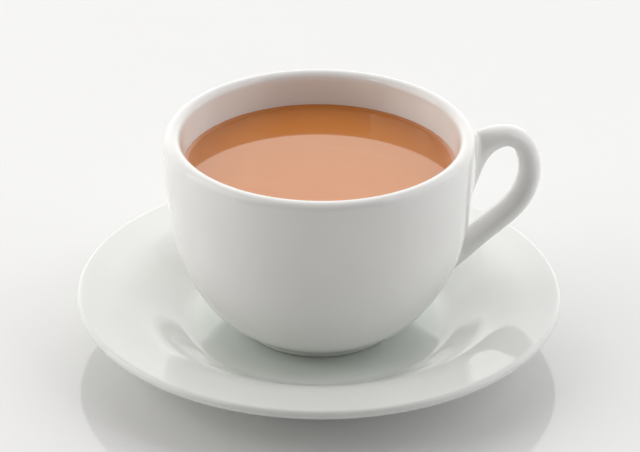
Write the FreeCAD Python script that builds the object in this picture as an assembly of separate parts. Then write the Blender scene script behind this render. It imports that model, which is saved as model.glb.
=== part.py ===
"""Cup of milk tea on its saucer: the saucer, the cup with its handle, and the tea.

Millimetres, +Z up. The origin is the middle of the saucer's foot ring, on the table, and
the handle points along +X. Each round piece is an outline in the XZ half plane, turned
about Z; the handle is lofted through oval sections along a path in the same plane.
"""
import FreeCAD, Part
import math
import os

# Saucer
SAUCER_RADIUS = 75.0
SAUCER_HEIGHT = 18.8  # top of the lip above the table
FLANGE_THICKNESS = 3.0  # the lip is a full round of this thickness
FLANGE_SLOPE = 5.0  # degrees; the flange is nearly level
CREST_ROUND = 28.0  # turns the bowl's side over into the flange
BOWL_SLOPE = 33.0  # degrees, the straight side of the bowl
WELL_ROUND = 10.0  # hollow round between the floor and the bowl's side
WELL_RADIUS = 38.0  # flat floor that the cup stands on
WELL_HEIGHT = 7.2
WELL_THICKNESS = 4.2
SAUCER_FOOT_RADIUS = 41.0
SAUCER_FOOT_WIDTH = 3.6
SAUCER_FOOT_ROUND = 0.8

# Cup body
CUP_TOP = 71.8
RIM_RADIUS = 47.2  # widest point of the rounded lip
LIP_ROUND = 2.4
WALL_LEAN = 0.09  # outward run for each millimetre of height
WALL_FOOT = (46.0, 45.8)  # radius and height where the leaning wall begins
SHOULDER_ROUND = 46.0  # turns the wall in again below the lip
BELLY_ROUND = 55.0
BELLY_SWEEP = 0.54  # radians
BASE_ROUND = 30.0
FOOT_RADIUS = 24.1
FOOT_JOIN_RADIUS = 25.0  # where the body meets the foot ring
FOOT_WIDTH = 3.0
FOOT_RECESS = 2.3  # underside of the cup above its foot
FOOT_ROUND = 0.5
CUP_FLOOR = 13.5  # height of the inside floor

# Tea
TEA_LEVEL = 61.3

# Handle
SIDE_CENTRE = (48.7, 53.5)
SIDE_ROUND = 17.6
CROWN_ROUND = 7.9
CROWN_JOIN = 26.3  # degrees above level, where the crown becomes the side
LIMB_BEND = (46.0, 29.2)  # radius and height where the straight lower limb bends to its root
LIMB_BEND_ROUND = 24.0
LIMB_END_SLOPE = 10.0  # degrees below level, where the bend ends
LIMB_END_RADIUS = 34.0  # the limb's last section, inside the cup's wall
HANDLE_THICKNESS = 6.4  # in the plane of the loop, at the crown
LIMB_THICKNESS = 7.3
HANDLE_WIDTH = 8.8  # across the loop, at the crown
LIMB_WIDTH = 9.6
ROOT_RADIUS = 44.6  # the upper root's first section, inside the cup's wall
ROOT_TOP = 65.4
ROOT_UNDER = 44.5
ROOT_FLARE = 1.7  # how suddenly the underside turns down towards the wall
ROOT_WIDTH = 10.4
ROOT_BLEND = 2.0  # hollow round where the handle meets the wall
ROOT_SECTIONS = 6
CROWN_SECTIONS = 3
SIDE_SECTIONS = 5
LIMB_SECTIONS = 2
BEND_SECTIONS = 3
SECTION_POINTS = 16


def point(radius, height):
    return FreeCAD.Vector(radius, 0, height)


def polar(centre, reach, angle):
    """Point at an angle (radians above level) and a reach from a centre (radius, height)."""
    return (centre[0] + reach * math.cos(angle), centre[1] + reach * math.sin(angle))


def line(start, end):
    return Part.makeLine(point(*start), point(*end))


def arc(centre, radius, start_angle, end_angle):
    middle_angle = (start_angle + end_angle) / 2
    angles = (start_angle, middle_angle, end_angle)
    return Part.Arc(*[point(*polar(centre, radius, angle)) for angle in angles]).toShape()


def turned(edges):
    """The solid that a closed outline makes when it is turned about Z."""
    outline = Part.Wire(Part.__sortEdges__(edges))
    solid = Part.Face(outline).revolve(FreeCAD.Vector(), FreeCAD.Vector(0, 0, 1), 360)
    return solid.Solids[0] if solid.Solids else Part.Solid(solid.Shells[0])


def ring_edges(solid, radius, height, near=0.01):
    """The round edges of a solid that have this radius and height."""
    found = []
    for edge in solid.Edges:
        curve = edge.Curve
        if not isinstance(curve, Part.Circle):
            continue
        if abs(curve.Radius - radius) < near and abs(curve.Center.z - height) < near:
            found.append(edge)
    return found


def angle_of(centre, spot):
    return math.atan2(spot[1] - centre[1], spot[0] - centre[0])


def saucer():
    up = math.pi / 2
    bowl = math.radians(BOWL_SLOPE)
    flange = math.radians(FLANGE_SLOPE)
    lip_round = FLANGE_THICKNESS / 2
    lip_centre = (SAUCER_RADIUS - lip_round, SAUCER_HEIGHT - lip_round)
    hollow_centre = (WELL_RADIUS, WELL_HEIGHT + WELL_ROUND)
    bowl_start = polar(hollow_centre, WELL_ROUND, bowl - up)
    flange_end = polar(lip_centre, lip_round, flange + up)

    # The bowl's side and the flange would meet at a corner; the crest rounds it off.
    run = flange_end[0] - bowl_start[0]
    rise = flange_end[1] - bowl_start[1]
    turn = bowl - flange
    to_corner = (rise * math.cos(flange) - run * math.sin(flange)) / math.sin(turn)
    bowl_end = polar(bowl_start, to_corner - CREST_ROUND * math.tan(turn / 2), bowl)
    crest_centre = polar(bowl_end, CREST_ROUND, bowl - up)
    flange_start = polar(crest_centre, CREST_ROUND, flange + up)

    under_crest = CREST_ROUND - FLANGE_THICKNESS
    under_hollow = WELL_ROUND + FLANGE_THICKNESS
    foot_angle = -math.acos((SAUCER_FOOT_RADIUS - WELL_RADIUS) / under_hollow)
    well_under = WELL_HEIGHT - WELL_THICKNESS
    foot_inner = SAUCER_FOOT_RADIUS - SAUCER_FOOT_WIDTH
    edges = [
        line((0, WELL_HEIGHT), (WELL_RADIUS, WELL_HEIGHT)),
        arc(hollow_centre, WELL_ROUND, -up, bowl - up),
        line(bowl_start, bowl_end),
        arc(crest_centre, CREST_ROUND, bowl + up, flange + up),
        line(flange_start, flange_end),
        arc(lip_centre, lip_round, flange + up, flange - up),
        line(polar(lip_centre, lip_round, flange - up), polar(crest_centre, under_crest, flange + up)),
        arc(crest_centre, under_crest, flange + up, bowl + up),
        line(polar(crest_centre, under_crest, bowl + up), polar(hollow_centre, under_hollow, bowl - up)),
        arc(hollow_centre, under_hollow, bowl - up, foot_angle),
        line(polar(hollow_centre, under_hollow, foot_angle), (SAUCER_FOOT_RADIUS, 0)),
        line((SAUCER_FOOT_RADIUS, 0), (foot_inner, 0)),
        line((foot_inner, 0), (foot_inner, well_under)),
        line((foot_inner, well_under), (0, well_under)),
        line((0, well_under), (0, WELL_HEIGHT)),
    ]
    body = turned(edges)
    corners = ring_edges(body, SAUCER_FOOT_RADIUS, 0) + ring_edges(body, foot_inner, 0)
    return body.makeFillet(SAUCER_FOOT_ROUND, corners)


class CupOutline:
    """The arcs and lines of the cup's wall, outside and inside, without the handle."""

    def __init__(self):
        self.lean = math.atan(WALL_LEAN)
        self.lip_centre = (RIM_RADIUS - LIP_ROUND, CUP_TOP - LIP_ROUND)
        self.belly_centre = polar(WALL_FOOT, BELLY_ROUND, math.pi - self.lean)
        self.belly_angle = -(self.lean + BELLY_SWEEP)
        reach = BELLY_ROUND - BASE_ROUND
        self.base_centre = polar(self.belly_centre, reach, self.belly_angle)
        self.base_angle = -math.acos((FOOT_JOIN_RADIUS - self.base_centre[0]) / BASE_ROUND)
        self.foot_join = polar(self.base_centre, BASE_ROUND, self.base_angle)
        self.inner_top = polar(self.lip_centre, LIP_ROUND, math.pi - self.lean)
        self.wall = self.wall_thickness()
        self.inner_foot = polar(WALL_FOOT, self.wall, math.pi - self.lean)

    def wall_thickness(self):
        """Distance between the outer wall's line and the lip's inner tangent."""
        run = self.inner_top[0] - WALL_FOOT[0]
        rise = self.inner_top[1] - WALL_FOOT[1]
        return rise * math.sin(self.lean) - run * math.cos(self.lean)

    def shoulder(self):
        """Start and centre of the arc that touches both the outer wall and the lip's round."""
        along = (math.sin(self.lean), math.cos(self.lean))
        base = polar(WALL_FOOT, SHOULDER_ROUND, math.pi - self.lean)
        run = self.lip_centre[0] - base[0]
        rise = self.lip_centre[1] - base[1]
        forward = run * along[0] + rise * along[1]
        aside = run * along[1] - rise * along[0]
        step = forward - math.sqrt((SHOULDER_ROUND - LIP_ROUND) ** 2 - aside ** 2)
        centre = (base[0] + step * along[0], base[1] + step * along[1])
        start = (WALL_FOOT[0] + step * along[0], WALL_FOOT[1] + step * along[1])
        return start, centre

    def inside_edges(self, top):
        """The inner wall from a point on its straight part down to the middle of the floor."""
        belly = BELLY_ROUND - self.wall
        bottom = math.sin(self.belly_angle)
        drop = self.belly_centre[1] + belly * bottom - CUP_FLOOR
        corner = drop / (1 + bottom)
        centre = polar(self.belly_centre, belly - corner, self.belly_angle)
        return [
            line(top, self.inner_foot),
            arc(self.belly_centre, belly, -self.lean, self.belly_angle),
            arc(centre, corner, self.belly_angle, -math.pi / 2),
            line((centre[0], CUP_FLOOR), (0, CUP_FLOOR)),
        ]

    def inner_radius(self, height):
        """Radius of the straight part of the inner wall at a height."""
        return self.inner_foot[0] + WALL_LEAN * (height - self.inner_foot[1])


def cup_body(outline):
    shoulder_start, shoulder_centre = outline.shoulder()
    shoulder_angle = angle_of(shoulder_centre, outline.lip_centre)
    underside = WELL_HEIGHT + FOOT_RECESS
    foot_inner = FOOT_RADIUS - FOOT_WIDTH
    edges = [
        line((foot_inner, WELL_HEIGHT), (FOOT_RADIUS, WELL_HEIGHT)),
        line((FOOT_RADIUS, WELL_HEIGHT), outline.foot_join),
        arc(outline.base_centre, BASE_ROUND, outline.base_angle, outline.belly_angle),
        arc(outline.belly_centre, BELLY_ROUND, outline.belly_angle, -outline.lean),
        line(WALL_FOOT, shoulder_start),
        arc(shoulder_centre, SHOULDER_ROUND, -outline.lean, shoulder_angle),
        arc(outline.lip_centre, LIP_ROUND, shoulder_angle, math.pi - outline.lean),
        *outline.inside_edges(outline.inner_top),
        line((0, CUP_FLOOR), (0, underside)),
        line((0, underside), (foot_inner, underside)),
        line((foot_inner, underside), (foot_inner, WELL_HEIGHT)),
    ]
    body = turned(edges)
    corners = ring_edges(body, FOOT_RADIUS, WELL_HEIGHT) + ring_edges(body, foot_inner, WELL_HEIGHT)
    return body.makeFillet(FOOT_ROUND, corners)


def limb_tangent():
    """Where the straight limb leaves the side's arc, as an angle, and the limb's length."""
    run = LIMB_BEND[0] - SIDE_CENTRE[0]
    rise = LIMB_BEND[1] - SIDE_CENTRE[1]
    distance = math.hypot(run, rise)
    angle = math.atan2(rise, run) + math.acos(SIDE_ROUND / distance)
    return angle, math.sqrt(distance ** 2 - SIDE_ROUND ** 2)


def handle_stations():
    """Centre, lean of the section, thickness and width, from the upper root to the lower."""
    crown_join = math.radians(CROWN_JOIN)
    limb_angle, limb_length = limb_tangent()
    crown_centre = polar(SIDE_CENTRE, SIDE_ROUND - CROWN_ROUND, crown_join)
    crown_top = polar(crown_centre, CROWN_ROUND, math.pi / 2)
    loop_top = crown_top[1] + HANDLE_THICKNESS / 2
    loop_under = crown_top[1] - HANDLE_THICKNESS / 2
    stations = []
    for step in range(ROOT_SECTIONS):
        toward_wall = 1 - step / ROOT_SECTIONS
        run = crown_top[0] - toward_wall * (crown_top[0] - ROOT_RADIUS)
        top = loop_top - (loop_top - ROOT_TOP) * toward_wall ** 2
        under = loop_under - (loop_under - ROOT_UNDER) * toward_wall ** ROOT_FLARE
        width = HANDLE_WIDTH + (ROOT_WIDTH - HANDLE_WIDTH) * toward_wall ** 2
        stations.append(((run, (top + under) / 2), math.pi / 2, top - under, width))

    path = []
    for step in range(CROWN_SECTIONS):
        angle = math.pi / 2 + (crown_join - math.pi / 2) * step / CROWN_SECTIONS
        path.append((polar(crown_centre, CROWN_ROUND, angle), angle))
    for step in range(SIDE_SECTIONS):
        angle = crown_join + (limb_angle - crown_join) * step / SIDE_SECTIONS
        path.append((polar(SIDE_CENTRE, SIDE_ROUND, angle), angle))
    limb_start = polar(SIDE_CENTRE, SIDE_ROUND, limb_angle)
    for step in range(LIMB_SECTIONS):
        reach = limb_length * step / LIMB_SECTIONS
        path.append((polar(limb_start, reach, limb_angle - math.pi / 2), limb_angle))
    bend_centre = polar(LIMB_BEND, LIMB_BEND_ROUND, limb_angle + math.pi)
    last_angle = math.radians(LIMB_END_SLOPE) - math.pi / 2
    for step in range(BEND_SECTIONS + 1):
        angle = limb_angle + (last_angle - limb_angle) * step / BEND_SECTIONS
        path.append((polar(bend_centre, LIMB_BEND_ROUND, angle), angle))
    bend_end = path[-1][0]
    root_length = (bend_end[0] - LIMB_END_RADIUS) / -math.sin(last_angle)
    path.append((polar(bend_end, root_length, last_angle - math.pi / 2), last_angle))

    for place, (centre, angle) in enumerate(path):
        share = place / (len(path) - 1)
        thickness = HANDLE_THICKNESS + (LIMB_THICKNESS - HANDLE_THICKNESS) * share
        width = HANDLE_WIDTH + (LIMB_WIDTH - HANDLE_WIDTH) * share
        stations.append((centre, angle, thickness, width))
    return stations


def oval(centre, angle, thickness, width):
    """Closed oval across the handle's path; its thickness lies along the angle."""
    points = []
    for step in range(SECTION_POINTS):
        turn = 2 * math.pi * step / SECTION_POINTS
        spot = polar(centre, thickness / 2 * math.cos(turn), angle)
        points.append(FreeCAD.Vector(spot[0], width / 2 * math.sin(turn), spot[1]))
    curve = Part.BSplineCurve()
    curve.interpolate(Points=points, PeriodicFlag=True)
    return Part.Wire(curve.toShape())


def handle():
    return Part.makeLoft([oval(*station) for station in handle_stations()], True, False)


def root_edges(solid):
    """The edges where the handle meets the outside of the wall."""
    found = []
    for edge in solid.Edges:
        box = edge.BoundBox
        if isinstance(edge.Curve, Part.BSplineCurve) and box.XMin > 0 and box.XMax < RIM_RADIUS + 1:
            found.append(edge)
    return found


def cup(outline):
    inside = turned([*outline.inside_edges(outline.inner_top),
                     line(outline.inner_top, (0, outline.inner_top[1])),
                     line((0, outline.inner_top[1]), (0, CUP_FLOOR))])
    joined = cup_body(outline).fuse(handle().cut(inside)).removeSplitter().Solids[0]
    return joined.makeFillet(ROOT_BLEND, root_edges(joined)).Solids[0]


def tea(outline):
    edge = (outline.inner_radius(TEA_LEVEL), TEA_LEVEL)
    return turned([*outline.inside_edges(edge),
                   line(edge, (0, TEA_LEVEL)),
                   line((0, TEA_LEVEL), (0, CUP_FLOOR))])


def main():
    outline = CupOutline()
    nodes = {"saucer": saucer(), "cup": cup(outline), "tea": tea(outline)}
    os.makedirs("parts", exist_ok=True)
    for name, shape in nodes.items():
        shape.exportStep(f"parts/{name}.step")
        box = shape.BoundBox
        print(f"{name}: valid {shape.isValid()}, solids {len(shape.Solids)}, "
              f"volume {shape.Volume / 1000:.1f} cm3, "
              f"x {box.XMin:.2f} to {box.XMax:.2f}, y {box.YMin:.2f} to {box.YMax:.2f}, "
              f"z {box.ZMin:.2f} to {box.ZMax:.2f}")


main()
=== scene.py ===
"""A white glazed cup of milk tea, standing on its saucer, on a pale glossy table."""

import math

import bmesh
import bpy
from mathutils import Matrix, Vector

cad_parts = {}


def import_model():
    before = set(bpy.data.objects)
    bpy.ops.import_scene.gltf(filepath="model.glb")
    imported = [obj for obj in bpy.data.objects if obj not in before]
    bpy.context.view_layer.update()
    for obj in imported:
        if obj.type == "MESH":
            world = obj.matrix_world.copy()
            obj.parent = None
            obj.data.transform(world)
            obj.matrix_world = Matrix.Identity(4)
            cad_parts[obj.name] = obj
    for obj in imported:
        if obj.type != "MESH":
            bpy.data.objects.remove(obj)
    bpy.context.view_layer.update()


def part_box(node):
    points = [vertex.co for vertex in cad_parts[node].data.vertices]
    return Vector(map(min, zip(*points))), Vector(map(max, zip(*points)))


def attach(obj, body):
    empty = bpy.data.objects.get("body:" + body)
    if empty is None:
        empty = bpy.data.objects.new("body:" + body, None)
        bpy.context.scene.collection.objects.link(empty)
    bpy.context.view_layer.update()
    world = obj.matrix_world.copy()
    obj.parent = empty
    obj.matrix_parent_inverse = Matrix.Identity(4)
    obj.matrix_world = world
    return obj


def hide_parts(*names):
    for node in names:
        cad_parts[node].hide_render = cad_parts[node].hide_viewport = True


MM = 0.001

# How fine the turned pieces are, before their faces are subdivided
LATHE_SIDES = 64
SMOOTHING = 2
HANDLE_SIDES = 18  # as many as an opening in the wall that is 3 faces wide and 6 high

# Saucer, in millimetres
FLANGE_THICKNESS = 3.0
FLANGE_SLOPE = math.radians(5)
CREST_ROUND = 28.0
BOWL_SLOPE = math.radians(33)
WELL_ROUND = 10.0
WELL_RADIUS = 38.0
WELL_HEIGHT = 7.2
WELL_THICKNESS = 4.2
SAUCER_FOOT_RADIUS = 41.0
SAUCER_FOOT_WIDTH = 3.6
UNDER_FLANGE = (66.0, 0.65)  # a radius under the flange, and how far it lies below the lip there

# Cup, in millimetres
RIM_RADIUS = 47.2
LIP_ROUND = 2.4
LEAN = math.atan(0.09)
WALL_FOOT = (46.0, 45.8)
SHOULDER_ROUND = 46.0
BELLY_ROUND = 55.0
BELLY_ANGLE = -(LEAN + 0.54)
BASE_ROUND = 30.0
FOOT_RADIUS = 24.1
FOOT_JOIN_RADIUS = 25.0
FOOT_WIDTH = 3.0
FOOT_RECESS = 2.3
CUP_FLOOR = 13.5
UPPER_OPENING = (46.4, 68.8)  # heights between which the upper root grows out of the wall
LOWER_OPENING = (18.2, 34.0)
INNER_WALL_HEIGHTS = (50, 56, 61, 65, 68)

# Tea, in millimetres
TEA_INTO_WALL = 0.25
MENISCUS = 0.8

# Handle, in millimetres, in the upright plane through its loop
SIDE_CENTRE = (48.7, 53.5)
SIDE_ROUND = 17.6
CROWN_ROUND = 7.9
CROWN_JOIN = math.radians(26.3)
LIMB_BEND = (46.0, 29.2)
LIMB_BEND_ROUND = 24.0
HANDLE_THICKNESS = 6.4
LIMB_THICKNESS = 7.3
HANDLE_WIDTH = 8.8
LIMB_WIDTH = 9.6
LIMB_SHARES = (0.35, 0.7)  # places of the sections along the straight limb
# Sections at the roots: centre, lean in the plane in degrees, thickness and width
UPPER_ROOT = (
    ((49.0, 59.6), 94, 15.4, 10.0),
    ((50.9, 62.7), 92, 10.8, 9.4),
    ((53.9, 65.0), 91, 7.6, 9.0),
)
LOWER_ROOT = (
    ((47.1, 29.8), -60, 7.5, 9.6),
    ((44.3, 27.4), -80, 8.8, 9.9),
)

# Finishes: colours, (strength, depth in metres) of the relief, and (least, most) of the rest
GLAZE = (0.88, 0.875, 0.86, 1)
SAUCER_GLAZE = (0.80, 0.812, 0.79, 1)
# Partly painted shade: darker, greener glaze low in the saucer's well, where the cup shades it, and low
# in the cup; the rest is pooled glaze
POOLED_GLAZE_AND_SHADE = (0.64, 0.69, 0.645, 1)
BARE_CLAY = (0.74, 0.70, 0.63, 1)
CLAY_GRAIN = (0.60, 0.55, 0.47, 1)
PINHOLE = (0.30, 0.26, 0.21, 1)
GLAZE_TONE = (0.975, 1.0)
GLAZE_ROUGHNESS = (0.035, 0.075)
CLAY_ROUGHNESS = 0.55  # added to the glaze's
GLAZE_RELIEF = (0.15, 0.0006)
GLAZE_INDEX = 1.52
POOL_AND_SHADE_EDGE = (1.12, 0.86)  # shares of the radius of the pooled glaze and painted shade over which they fade in
BARE_EDGE = (0.0005, 0.0002)  # metres above the foot over which the clay shows
TEA = (0.58, 0.183, 0.022, 1)
MILK_CLOUD = (0.63, 0.222, 0.038, 1)
# Painted shade: a darker, deeper tea colour close to the wall, where the tea meets the cup
TEA_WALL_SHADE = (0.55, 0.165, 0.016, 1)
WALL_SHADE_EDGE = (0.0016, 0.0003)  # metres from the wall over which the painted shade at the wall deepens
TEA_ROUGHNESS = (0.03, 0.06)
TEA_RELIEF = (0.1, 0.0008)
TEA_INDEX = 1.6
LACQUER = (0.83, 0.83, 0.83, 1)
LACQUER_TONE = (0.98, 1.0)
LACQUER_ROUGHNESS = (0.05, 0.08)
LACQUER_INDEX = 1.5

# Camera and light
SENSOR_WIDTH = 36
CAMERA_CLIP = (0.05, 50)
TABLE_SIZE = 12
AIR_COLOUR = (1, 0.995, 0.98, 1)
AIR_SIDES = (-0.35, 0.75)  # how far towards the back the light begins and ends to grow
AIR_STRENGTH = (0.05, 1.44)
CAMERA_DISTANCE = 0.9681
CAMERA_TURN = math.radians(-12)
CAMERA_RISE = math.radians(28.63)
CAMERA_TARGET = Vector((0, 0, 0.030))
CAMERA_AIM = Vector((0.0002, 0, 0.0399))
CAMERA_ROLL = math.radians(0.468)
LENS = 176.6
# Softboxes: name, turn and rise in degrees, distance and size in metres, watts and colour
LIGHTS = (
    ("window", 168, 24, 2.5, (3.6, 1.5), 7.5, (1, 0.99, 0.97)),
    ("left", -95, 28, 1.0, (0.9, 0.9), 5.0, (1, 0.98, 0.95)),
    ("right", 80, 30, 1.0, (0.9, 0.9), 2.4, (0.92, 0.95, 1)),
    ("right_front", 55, 22, 1.0, (0.7, 0.9), 1.9, (1, 0.97, 0.92)),
    ("glint_right", 62, 55, 1.2, (0.10, 0.16), 0.4, (1, 1, 1)),
    ("glint_left", -62, 45, 1.2, (0.10, 0.25), 0.4, (1, 1, 1)),
)


# ---- outlines: lists of (radius, height) in millimetres ----

def polar(centre, reach, angle):
    return (centre[0] + reach * math.cos(angle), centre[1] + reach * math.sin(angle))


def arc(centre, radius, start, end, steps):
    """Points along an arc, its first and last included."""
    return [polar(centre, radius, start + (end - start) * step / steps) for step in range(steps + 1)]


def between(start, end, steps):
    """Points that part a straight line into equal steps, without its ends."""
    return [tuple(a + (b - a) * step / steps for a, b in zip(start, end)) for step in range(1, steps)]


def angle_of(centre, spot):
    return math.atan2(spot[1] - centre[1], spot[0] - centre[0])


def saucer_outline():
    """From the middle of the well, out over the lip, and back under to the middle."""
    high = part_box("saucer")[1]
    up = math.pi / 2
    lip = FLANGE_THICKNESS / 2
    lip_centre = (high.x / MM - lip, high.z / MM - lip)
    hollow_centre = (WELL_RADIUS, WELL_HEIGHT + WELL_ROUND)
    bowl_start = polar(hollow_centre, WELL_ROUND, BOWL_SLOPE - up)
    flange_end = polar(lip_centre, lip, FLANGE_SLOPE + up)
    run = flange_end[0] - bowl_start[0]
    rise = flange_end[1] - bowl_start[1]
    turn = BOWL_SLOPE - FLANGE_SLOPE
    to_corner = (rise * math.cos(FLANGE_SLOPE) - run * math.sin(FLANGE_SLOPE)) / math.sin(turn)
    bowl_end = polar(bowl_start, to_corner - CREST_ROUND * math.tan(turn / 2), BOWL_SLOPE)
    crest_centre = polar(bowl_end, CREST_ROUND, BOWL_SLOPE - up)
    flange_start = polar(crest_centre, CREST_ROUND, FLANGE_SLOPE + up)
    under_crest = CREST_ROUND - FLANGE_THICKNESS
    under_hollow = WELL_ROUND + FLANGE_THICKNESS
    foot_angle = -math.acos((SAUCER_FOOT_RADIUS - WELL_RADIUS) / under_hollow)
    well_under = WELL_HEIGHT - WELL_THICKNESS
    foot_inner = SAUCER_FOOT_RADIUS - SAUCER_FOOT_WIDTH
    return [
        (12, WELL_HEIGHT),
        (24, WELL_HEIGHT),
        (33, WELL_HEIGHT),
        *arc(hollow_centre, WELL_ROUND, -up, BOWL_SLOPE - up, 4),
        *between(bowl_start, bowl_end, 3),
        *arc(crest_centre, CREST_ROUND, BOWL_SLOPE + up, FLANGE_SLOPE + up, 7),
        *between(flange_start, flange_end, 3),
        *arc(lip_centre, lip, FLANGE_SLOPE + up, FLANGE_SLOPE - up, 8),
        (UNDER_FLANGE[0], high.z / MM - FLANGE_THICKNESS - UNDER_FLANGE[1]),
        *arc(crest_centre, under_crest, FLANGE_SLOPE + up, BOWL_SLOPE + up, 5),
        *arc(hollow_centre, under_hollow, BOWL_SLOPE - up, foot_angle, 3),
        (SAUCER_FOOT_RADIUS, 3.4),
        (SAUCER_FOOT_RADIUS, 1.2),
        (SAUCER_FOOT_RADIUS - 0.2, 0.35),
        (SAUCER_FOOT_RADIUS - 0.9, 0.0),
        (foot_inner + 0.9, 0.0),
        (foot_inner + 0.2, 0.35),
        (foot_inner, 1.2),
        (foot_inner - 0.1, well_under - 0.5),
        (foot_inner - 0.8, well_under),
        (24, well_under),
        (12, well_under),
    ]


class CupWall:
    """Centres and angles of the arcs that the cup's wall is made of."""

    def __init__(self):
        low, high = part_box("cup")
        self.top = high.z / MM
        self.foot = low.z / MM
        self.lip_centre = (RIM_RADIUS - LIP_ROUND, self.top - LIP_ROUND)
        self.belly_centre = polar(WALL_FOOT, BELLY_ROUND, math.pi - LEAN)
        self.base_centre = polar(self.belly_centre, BELLY_ROUND - BASE_ROUND, BELLY_ANGLE)
        self.base_angle = -math.acos((FOOT_JOIN_RADIUS - self.base_centre[0]) / BASE_ROUND)
        self.inner_top = polar(self.lip_centre, LIP_ROUND, math.pi - LEAN)
        run = self.inner_top[0] - WALL_FOOT[0]
        rise = self.inner_top[1] - WALL_FOOT[1]
        self.wall = rise * math.sin(LEAN) - run * math.cos(LEAN)
        self.inner_foot = polar(WALL_FOOT, self.wall, math.pi - LEAN)

    def shoulder(self):
        """Height where the shoulder begins, and the centre of its arc."""
        base = polar(WALL_FOOT, SHOULDER_ROUND, math.pi - LEAN)
        run = self.lip_centre[0] - base[0]
        rise = self.lip_centre[1] - base[1]
        forward = run * math.sin(LEAN) + rise * math.cos(LEAN)
        aside = run * math.cos(LEAN) - rise * math.sin(LEAN)
        step = forward - math.sqrt((SHOULDER_ROUND - LIP_ROUND) ** 2 - aside ** 2)
        centre = (base[0] + step * math.sin(LEAN), base[1] + step * math.cos(LEAN))
        return WALL_FOOT[1] + step * math.cos(LEAN), centre

    def outer_radius(self, height):
        """Radius of the outside of the wall at a height."""
        start, shoulder_centre = self.shoulder()
        belly_foot = polar(self.belly_centre, BELLY_ROUND, BELLY_ANGLE)[1]
        if height > start:
            centre, radius = shoulder_centre, SHOULDER_ROUND
        elif height > WALL_FOOT[1]:
            return WALL_FOOT[0] + (height - WALL_FOOT[1]) * math.tan(LEAN)
        elif height > belly_foot:
            centre, radius = self.belly_centre, BELLY_ROUND
        else:
            centre, radius = self.base_centre, BASE_ROUND
        return centre[0] + math.sqrt(radius ** 2 - (height - centre[1]) ** 2)

    def inner_radius(self, height):
        """Radius of the straight part of the inner wall at a height."""
        return self.inner_foot[0] + (height - self.inner_foot[1]) * math.tan(LEAN)

    def inner_outline(self, outward=0.0):
        """From the inside floor up to the foot of the straight inner wall."""
        belly = BELLY_ROUND - self.wall
        bottom = math.sin(BELLY_ANGLE)
        corner = (self.belly_centre[1] + belly * bottom - CUP_FLOOR) / (1 + bottom)
        centre = polar(self.belly_centre, belly - corner, BELLY_ANGLE)
        return [
            (centre[0] / 2, CUP_FLOOR - outward),
            *arc(centre, corner + outward, -math.pi / 2, BELLY_ANGLE, 5),
            *arc(self.belly_centre, belly + outward, BELLY_ANGLE, -LEAN, 5)[1:],
        ]

    def outer_rows(self):
        """Heights of the rows of faces outside, from the shoulder down to the foot."""
        upper = even(UPPER_OPENING[1], UPPER_OPENING[0], 6)
        middle = even(UPPER_OPENING[0], LOWER_OPENING[1], 3)
        lower = even(LOWER_OPENING[1], LOWER_OPENING[0], 6)
        base_foot = polar(self.base_centre, BASE_ROUND, self.base_angle)[1]
        return upper + middle[1:] + lower[1:] + even(LOWER_OPENING[0], base_foot, 4)[1:]

    def outline(self):
        """From the inside floor over the lip, down the outside and under to the middle."""
        shoulder_centre = self.shoulder()[1]
        lip_start = angle_of(shoulder_centre, self.lip_centre)
        underside = self.foot + FOOT_RECESS
        foot_inner = FOOT_RADIUS - FOOT_WIDTH
        return [
            *self.inner_outline(),
            *[(self.inner_radius(height), height) for height in INNER_WALL_HEIGHTS],
            *arc(self.lip_centre, LIP_ROUND, math.pi - LEAN, lip_start, 9),
            *[(self.outer_radius(height), height) for height in self.outer_rows()],
            (FOOT_RADIUS + 0.35, self.foot + 1.35),
            (FOOT_RADIUS + 0.1, self.foot + 0.6),
            (FOOT_RADIUS - 0.15, self.foot + 0.15),
            (FOOT_RADIUS - 0.6, self.foot),
            (foot_inner + 0.6, self.foot),
            (foot_inner + 0.1, self.foot + 0.3),
            (foot_inner, self.foot + 0.9),
            (foot_inner - 0.1, underside - 0.4),
            (foot_inner - 0.7, underside),
            (12, underside),
            (6, underside),
        ]


def even(start, end, steps):
    return [start + (end - start) * step / steps for step in range(steps + 1)]


# ---- modelling ----

def edit(piece):
    """Opens one piece for editing, with nothing in it selected."""
    if bpy.context.object and bpy.context.object.mode != "OBJECT":
        bpy.ops.object.mode_set(mode="OBJECT")
    bpy.ops.object.select_all(action="DESELECT")
    bpy.context.view_layer.objects.active = piece
    piece.select_set(True)
    bpy.ops.object.mode_set(mode="EDIT")
    bpy.ops.mesh.select_mode(type="EDGE")
    bpy.ops.mesh.select_all(action="DESELECT")


def pick_edges(piece, wanted):
    """Selects the edges of the open piece that wanted(edge) accepts."""
    mesh = bmesh.from_edit_mesh(piece.data)
    for edge in mesh.edges:
        if wanted(edge):
            edge.select_set(True)
    bmesh.update_edit_mesh(piece.data)


def pick_faces(piece, wanted):
    bpy.ops.mesh.select_mode(type="FACE")
    mesh = bmesh.from_edit_mesh(piece.data)
    for face in mesh.faces:
        if wanted(face.calc_center_median()):
            face.select_set(True)
    bmesh.update_edit_mesh(piece.data)


def place_in_mesh(piece):
    bpy.ops.object.mode_set(mode="OBJECT")
    bpy.ops.object.transform_apply(location=True, rotation=True, scale=True)


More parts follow.
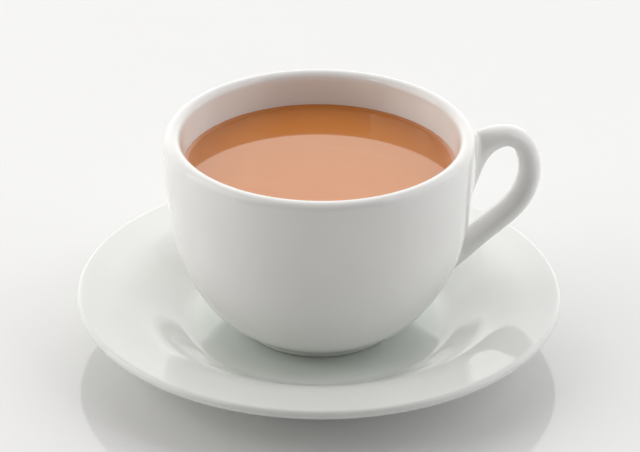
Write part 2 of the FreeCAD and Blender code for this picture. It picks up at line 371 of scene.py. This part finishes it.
def lathe(name, outline):
    """A closed piece turned about Z: a disc whose edge is extruded ring by ring and drawn shut."""
    radius, height = outline[0]
    bpy.ops.object.select_all(action="DESELECT")
    bpy.ops.mesh.primitive_circle_add(
        vertices=LATHE_SIDES, radius=radius * MM, fill_type="TRIFAN",
        location=(0, 0, height * MM), rotation=(0, 0, math.pi / LATHE_SIDES))
    piece = bpy.context.object
    piece.name = name
    piece.data.name = name
    place_in_mesh(piece)
    edit(piece)
    pick_edges(piece, lambda edge: edge.is_boundary)
    for next_radius, next_height in outline[1:]:
        rise = (next_height - height) * MM
        bpy.ops.mesh.extrude_edges_move(TRANSFORM_OT_translate={"value": (0, 0, rise)})
        wider = next_radius / radius
        bpy.ops.transform.resize(value=(wider, wider, 1), center_override=(0, 0, next_height * MM))
        radius, height = next_radius, next_height
    bpy.ops.mesh.extrude_edges_move()
    bpy.ops.mesh.merge(type="CENTER")
    face_outwards()
    return piece


def face_outwards():
    bpy.ops.mesh.select_all(action="SELECT")
    bpy.ops.mesh.remove_doubles(threshold=0.00001)
    bpy.ops.mesh.normals_make_consistent(inside=False)
    bpy.ops.object.mode_set(mode="OBJECT")


def smooth(piece, levels=SMOOTHING):
    """Rounds a finished piece off, and applies it."""
    bpy.ops.object.select_all(action="DESELECT")
    bpy.context.view_layer.objects.active = piece
    piece.select_set(True)
    rounding = piece.modifiers.new("rounding", "SUBSURF")
    rounding.levels = levels
    rounding.render_levels = levels
    bpy.ops.object.modifier_apply(modifier=rounding.name)
    bpy.ops.object.shade_smooth()


def root_sections(root):
    return [(centre, math.radians(lean), thickness, width) for centre, lean, thickness, width in root]


def handle_path():
    """Sections along the loop: centre, lean in its plane, thickness and width."""
    run = LIMB_BEND[0] - SIDE_CENTRE[0]
    rise = LIMB_BEND[1] - SIDE_CENTRE[1]
    distance = math.hypot(run, rise)
    limb_angle = math.atan2(rise, run) + math.acos(SIDE_ROUND / distance)
    limb_length = math.sqrt(distance ** 2 - SIDE_ROUND ** 2)
    crown_centre = polar(SIDE_CENTRE, SIDE_ROUND - CROWN_ROUND, CROWN_JOIN)
    limb_start = polar(SIDE_CENTRE, SIDE_ROUND, limb_angle)

    path = [(spot, math.pi / 2 + (CROWN_JOIN - math.pi / 2) * step / 5)
            for step, spot in enumerate(arc(crown_centre, CROWN_ROUND, math.pi / 2, CROWN_JOIN, 5))]
    path += [(spot, CROWN_JOIN + (limb_angle - CROWN_JOIN) * (step + 1) / 6)
             for step, spot in enumerate(arc(SIDE_CENTRE, SIDE_ROUND, CROWN_JOIN, limb_angle, 6)[1:])]
    for share in LIMB_SHARES:
        path.append((polar(limb_start, limb_length * share, limb_angle - math.pi / 2), limb_angle))

    sections = root_sections(UPPER_ROOT)
    for place, (centre, angle) in enumerate(path):
        share = place / len(path)
        thickness = HANDLE_THICKNESS + (LIMB_THICKNESS - HANDLE_THICKNESS) * share
        width = HANDLE_WIDTH + (LIMB_WIDTH - HANDLE_WIDTH) * share
        sections.append((centre, angle, thickness, width))
    return sections + root_sections(LOWER_ROOT)


def in_plane(spot):
    """A point of the handle's plane, from (radius, height) in millimetres."""
    return Vector((spot[0] * MM, 0, spot[1] * MM))


def handle_tube():
    """The loop of the handle, open at both ends, as one oval ring extruded along its path."""
    sections = handle_path()
    fuller = 3 / (2 + math.cos(2 * math.pi / HANDLE_SIDES))  # rounding off draws an oval in
    centre, angle, thickness, width = sections[0]
    bpy.ops.object.select_all(action="DESELECT")
    bpy.ops.mesh.primitive_circle_add(
        vertices=HANDLE_SIDES, radius=0.5 * MM, fill_type="NOTHING", location=in_plane(centre))
    piece = bpy.context.object
    place_in_mesh(piece)
    edit(piece)
    bpy.ops.mesh.select_all(action="SELECT")
    size = (thickness * fuller, width * fuller, 1)
    bpy.ops.transform.resize(value=size, center_override=in_plane(centre))
    lean_ring(centre, angle)
    for next_centre, next_angle, next_thickness, next_width in sections[1:]:
        step = in_plane(next_centre) - in_plane(centre)
        bpy.ops.mesh.extrude_edges_move(TRANSFORM_OT_translate={"value": step})
        centre = next_centre
        lean_ring(centre, -angle)
        size = (next_thickness / thickness, next_width / width, 1)
        bpy.ops.transform.resize(value=size, center_override=in_plane(centre))
        lean_ring(centre, next_angle)
        angle, thickness, width = next_angle, next_thickness, next_width
    bpy.ops.object.mode_set(mode="OBJECT")
    return piece


def lean_ring(centre, angle):
    """Turns the selected ring in the handle's plane, from lying flat up to an angle above level."""
    bpy.ops.transform.rotate(
        value=angle, orient_axis="Y", orient_type="GLOBAL", center_override=in_plane(centre))


def open_wall(piece, opening, wall):
    """Takes out 3 by 6 faces of the outer wall where a root of the handle grows."""
    low, high = opening
    half_width = 1.5 * 2 * math.pi / LATHE_SIDES
    pick_faces(piece, lambda spot: (
        low * MM < spot.z < high * MM
        and abs(math.atan2(spot.y, spot.x)) < half_width
        and math.hypot(spot.x, spot.y) > (wall.outer_radius(spot.z / MM) - 1.5) * MM))
    bpy.ops.mesh.delete(type="FACE")


def bridge(piece, near_height):
    """Joins a root's opening to the end of the tube that faces it."""
    bpy.ops.mesh.select_mode(type="EDGE")
    bpy.ops.mesh.select_all(action="DESELECT")
    middle = (UPPER_OPENING[0] + LOWER_OPENING[1]) / 2 * MM
    upper = near_height > middle
    pick_edges(piece, lambda edge: (
        edge.is_boundary and (edge.verts[0].co.z > middle) == upper))
    bpy.ops.mesh.bridge_edge_loops()


def make_saucer():
    piece = lathe("saucer_glazed", saucer_outline())
    smooth(piece)
    return piece


def make_cup(wall):
    body = lathe("cup_glazed", wall.outline())
    edit(body)
    for opening in (UPPER_OPENING, LOWER_OPENING):
        open_wall(body, opening, wall)
    bpy.ops.object.mode_set(mode="OBJECT")
    tube = handle_tube()
    bpy.ops.object.select_all(action="DESELECT")
    tube.select_set(True)
    body.select_set(True)
    bpy.context.view_layer.objects.active = body
    bpy.ops.object.join()
    edit(body)
    for opening in (UPPER_OPENING, LOWER_OPENING):
        bridge(body, opening[0] * MM)
    face_outwards()
    smooth(body)
    return body


def make_tea(wall):
    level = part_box("tea")[1].z / MM - MENISCUS  # the film climbs to the stated level at the wall
    edge = wall.inner_radius(level)
    outline = [
        (edge * 0.3, level),
        (edge * 0.6, level),
        (edge * 0.85, level),
        (edge - 2.6, level),
        (edge - 1.4, level + MENISCUS * 0.10),
        (edge - 0.7, level + MENISCUS * 0.34),
        (edge - 0.25, level + MENISCUS * 0.70),
        (edge + 0.06, level + MENISCUS),
        (edge + TEA_INTO_WALL, level + MENISCUS * 0.95),
        (edge + TEA_INTO_WALL, level - 0.5),
        *reversed(wall.inner_outline(TEA_INTO_WALL)),
    ]
    piece = lathe("tea_with_milk", outline)
    smooth(piece)
    return piece


# ---- finishes ----

def put(tree, kind, sockets=None, **settings):
    """Adds a node. Each socket is given a value, or an output that is linked to it."""
    node = tree.nodes.new("ShaderNode" + kind)
    for setting, value in settings.items():
        setattr(node, setting, value)
    for socket, value in (sockets or {}).items():
        if isinstance(value, bpy.types.NodeSocket):
            tree.links.new(value, node.inputs[socket])
        else:
            node.inputs[socket].default_value = value
    return node


def new_group(name, inputs, outputs):
    """A node group whose sockets are given as (name, kind)."""
    group = bpy.data.node_groups.new(name, "ShaderNodeTree")
    for in_out, sockets in (("INPUT", inputs), ("OUTPUT", outputs)):
        for socket, kind in sockets:
            group.interface.new_socket(socket, in_out=in_out, socket_type="NodeSocket" + kind)
    return group, group.nodes.new("NodeGroupInput"), group.nodes.new("NodeGroupOutput")


def ramp(tree, value, start, end, low=0.0, high=1.0, kind="SMOOTHSTEP"):
    """A value carried from start..end to low..high, and held at both ends."""
    sockets = {"Value": value, "From Min": start, "From Max": end, "To Min": low, "To Max": high}
    return put(tree, "MapRange", sockets, interpolation_type=kind).outputs["Result"]


def blend(tree, share, first, second, kind="MIX"):
    node = put(tree, "Mix", data_type="RGBA", blend_type=kind)
    for socket, value in ((0, share), (6, first), (7, second)):
        if isinstance(value, bpy.types.NodeSocket):
            tree.links.new(value, node.inputs[socket])
        else:
            node.inputs[socket].default_value = value
    return node.outputs[2]


def maths(tree, operation, first, second):
    return put(tree, "Math", {0: first, 1: second}, operation=operation).outputs[0]


def noise(tree, place, scale, detail=2.0, distortion=0.0):
    sockets = {"Vector": place, "Scale": scale, "Detail": detail, "Distortion": distortion}
    return put(tree, "TexNoise", sockets).outputs["Fac"]


def grey(tree, value):
    return put(tree, "CombineColor", {0: value, 1: value, 2: value}).outputs[0]


def distance_from_axis(tree, place):
    flat = put(tree, "VectorMath", {0: place, 1: (1, 1, 0)}, operation="MULTIPLY").outputs[0]
    return put(tree, "VectorMath", {0: flat}, operation="LENGTH").outputs["Value"]


def fired_glaze():
    """White glaze: faint tone and waviness, a darker, cooler pool low down that is part pooled glaze
    and part painted shade, pinholes and a bare foot.
    """
    inputs = (("Glaze", "Color"), ("Pooled glaze and shade", "Color"), ("Bare clay", "Color"),
              ("Pool and shade radius", "Float"), ("Foot level", "Float"))
    outputs = (("Color", "Color"), ("Roughness", "Float"), ("Height", "Float"))
    group, given, result = new_group("fired_glaze", inputs, outputs)
    place = put(group, "TexCoord").outputs["Object"]
    tone = ramp(group, noise(group, place, 26.0), 0.3, 0.7, *GLAZE_TONE)
    radius = distance_from_axis(group, place)
    # Partly painted shade: towards the middle the glaze turns to the darker, greener pooled colour
    from_pool_and_shade = maths(group, "DIVIDE", radius, given.outputs["Pool and shade radius"])
    pooled_and_shaded = ramp(group, from_pool_and_shade, *POOL_AND_SHADE_EDGE)
    colour = blend(group, pooled_and_shaded, given.outputs["Glaze"], given.outputs["Pooled glaze and shade"])
    colour = blend(group, 1.0, colour, grey(group, tone), "MULTIPLY")

    cells = put(group, "TexVoronoi", {"Vector": place, "Scale": 110.0})
    dot = ramp(group, cells.outputs["Distance"], 0.030, 0.018)
    chosen = put(group, "TexWhiteNoise", {"Vector": cells.outputs["Position"]}).outputs["Value"]
    pinhole = maths(group, "MULTIPLY", dot, ramp(group, chosen, 0.955, 0.96, kind="LINEAR"))
    colour = blend(group, pinhole, colour, PINHOLE)

    height = put(group, "SeparateXYZ", {0: place}).outputs["Z"]
    bare = ramp(group, maths(group, "SUBTRACT", height, given.outputs["Foot level"]), *BARE_EDGE)
    grain = noise(group, place, 1400.0, 4.0)
    clay = blend(group, ramp(group, grain, 0.35, 0.65), given.outputs["Bare clay"], CLAY_GRAIN)
    group.links.new(blend(group, bare, colour, clay), result.inputs["Color"])

    gloss = ramp(group, noise(group, place, 45.0, 3.0), 0.3, 0.75, *GLAZE_ROUGHNESS)
    dullness = maths(group, "ADD", gloss, maths(group, "MULTIPLY", bare, CLAY_ROUGHNESS))
    group.links.new(dullness, result.inputs["Roughness"])
    waves = maths(group, "MULTIPLY", noise(group, place, 60.0, 1.0), 0.8)
    peel = maths(group, "MULTIPLY", noise(group, place, 420.0, 1.0), 0.05)
    sunk = maths(group, "MULTIPLY", pinhole, -0.4)
    rough = maths(group, "MULTIPLY", maths(group, "MULTIPLY", grain, bare), 0.5)
    level = maths(group, "ADD", maths(group, "ADD", waves, peel), maths(group, "ADD", sunk, rough))
    group.links.new(level, result.inputs["Height"])
    return group


def milk_tea():
    """Brown tea clouded with milk, with painted shade, a darker and deeper colour, close to where it
    climbs the wall.
    """
    inputs = (("Tea", "Color"), ("Milk cloud", "Color"), ("Painted wall shade", "Color"), ("Edge radius", "Float"))
    outputs = (("Color", "Color"), ("Roughness", "Float"), ("Height", "Float"))
    group, given, result = new_group("milk_tea", inputs, outputs)
    place = put(group, "TexCoord").outputs["Object"]
    drift = noise(group, place, 38.0, 4.0, 0.9)
    colour = blend(group, ramp(group, drift, 0.42, 0.78, 0.0, 0.5),
                   given.outputs["Tea"], given.outputs["Milk cloud"])
    radius = distance_from_axis(group, place)
    to_edge = maths(group, "SUBTRACT", given.outputs["Edge radius"], radius)
    # Painted shade: the tea darkens within a millimetre or two of the wall
    wall_shade = ramp(group, to_edge, *WALL_SHADE_EDGE)
    group.links.new(blend(group, wall_shade, colour, given.outputs["Painted wall shade"]), result.inputs["Color"])
    group.links.new(ramp(group, drift, 0.3, 0.7, *TEA_ROUGHNESS), result.inputs["Roughness"])
    group.links.new(noise(group, place, 22.0, 1.0), result.inputs["Height"])
    return group


def table_top():
    """White lacquer, with a gloss that is a little uneven."""
    outputs = (("Color", "Color"), ("Roughness", "Float"))
    group, given, result = new_group("table_top", (("Lacquer", "Color"),), outputs)
    place = put(group, "TexCoord").outputs["Object"]
    cloud = noise(group, place, 3.0, 3.0)
    shade = grey(group, ramp(group, cloud, 0.3, 0.7, *LACQUER_TONE))
    colour = blend(group, 1.0, given.outputs["Lacquer"], shade, "MULTIPLY")
    group.links.new(colour, result.inputs["Color"])
    group.links.new(ramp(group, cloud, 0.3, 0.7, *LACQUER_ROUGHNESS), result.inputs["Roughness"])
    return group


def finish(name, group, colours, index, relief=None):
    """A material whose colour, roughness and relief come from a group."""
    material = bpy.data.materials.new(name)
    material.use_nodes = True
    tree = material.node_tree
    shader = tree.nodes["Principled BSDF"]
    look = put(tree, "Group", node_tree=group)
    for socket, value in colours.items():
        look.inputs[socket].default_value = value
    tree.links.new(look.outputs["Color"], shader.inputs["Base Color"])
    tree.links.new(look.outputs["Roughness"], shader.inputs["Roughness"])
    if relief:
        strength, depth = relief
        sockets = {"Height": look.outputs["Height"], "Strength": strength, "Distance": depth}
        tree.links.new(put(tree, "Bump", sockets).outputs["Normal"], shader.inputs["Normal"])
    shader.inputs["IOR"].default_value = index
    return material


# ---- light, table and camera ----

def view_direction(turn, rise):
    """From the object towards a viewer who stands at this turn and rise."""
    return Vector((math.sin(turn) * math.cos(rise), -math.cos(turn) * math.cos(rise), math.sin(rise)))


def make_camera():
    place = CAMERA_TARGET + view_direction(CAMERA_TURN, CAMERA_RISE) * CAMERA_DISTANCE
    bpy.ops.object.camera_add(location=place)
    camera = bpy.context.object
    camera.name = "camera"
    camera.data.sensor_width = SENSOR_WIDTH
    camera.data.lens = LENS
    camera.data.clip_start, camera.data.clip_end = CAMERA_CLIP
    look = (CAMERA_AIM - place).to_track_quat("-Z", "Y")
    camera.rotation_euler = look.to_euler()
    camera.rotation_euler.rotate_axis("Z", CAMERA_ROLL)
    bpy.context.scene.camera = camera


def soft_light(name, turn, rise, distance, size, watts, colour):
    """A softbox that faces the cup."""
    place = view_direction(math.radians(turn), math.radians(rise)) * distance
    bpy.ops.object.light_add(type="AREA", location=place)
    lamp = bpy.context.object
    lamp.name = name
    lamp.rotation_euler = (-place).to_track_quat("-Z", "Y").to_euler()
    lamp.data.shape = "RECTANGLE"
    lamp.data.size, lamp.data.size_y = size
    lamp.data.energy = watts
    lamp.data.color = colour


def make_room():
    bpy.ops.mesh.primitive_plane_add(size=TABLE_SIZE, location=(0, 0, 0))
    table = bpy.context.object
    table.name = "table"
    table.data.materials.append(
        finish("table_white", table_top(), {"Lacquer": LACQUER}, LACQUER_INDEX))
    make_studio_air()
    for light in LIGHTS:
        soft_light(*light)


def make_studio_air():
    """Even light that is bright behind the cup and falls off towards the viewer."""
    world = bpy.data.worlds.new("studio")
    bpy.context.scene.world = world
    world.use_nodes = True
    tree = world.node_tree
    place = put(tree, "TexCoord").outputs["Generated"]
    back = -view_direction(CAMERA_TURN, 0)
    toward_back = put(tree, "VectorMath", {0: place, 1: back}, operation="DOT_PRODUCT").outputs["Value"]
    background = tree.nodes["Background"]
    tree.links.new(ramp(tree, toward_back, *AIR_SIDES, *AIR_STRENGTH), background.inputs["Strength"])
    background.inputs["Color"].default_value = AIR_COLOUR


def main():
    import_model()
    make_camera()
    wall = CupWall()
    glaze_look = fired_glaze()
    # The pooled glaze and painted shade cover the saucer's well, and on the cup its floor inside, its
    # foot and the hollow under it
    glaze = {"Glaze": GLAZE, "Pooled glaze and shade": POOLED_GLAZE_AND_SHADE, "Bare clay": BARE_CLAY}
    on_saucer = {**glaze, "Glaze": SAUCER_GLAZE, "Pool and shade radius": WELL_RADIUS * MM, "Foot level": 0.0}
    on_cup = {**glaze, "Pool and shade radius": FOOT_RADIUS * MM, "Foot level": wall.foot * MM}
    saucer_finish = finish("saucer_glaze", glaze_look, on_saucer, GLAZE_INDEX, GLAZE_RELIEF)
    cup_finish = finish("cup_glaze", glaze_look, on_cup, GLAZE_INDEX, GLAZE_RELIEF)
    drink = {
        "Tea": TEA,
        "Milk cloud": MILK_CLOUD,
        "Painted wall shade": TEA_WALL_SHADE,
        "Edge radius": wall.inner_radius(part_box("tea")[1].z / MM) * MM,
    }
    tea_finish = finish("milk_tea", milk_tea(), drink, TEA_INDEX, TEA_RELIEF)
    pieces = (
        (make_saucer(), "saucer", "saucer_glaze", saucer_finish),
        (make_cup(wall), "cup", "cup_glaze", cup_finish),
        (make_tea(wall), "tea", "tea", tea_finish),
    )
    for piece, node, slot, surface in pieces:
        piece.data.materials.clear()
        piece.data.materials.append(surface)
        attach(piece, "root")
        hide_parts(node)
    make_room()
    bpy.context.scene.view_settings.view_transform = "Standard"


main()
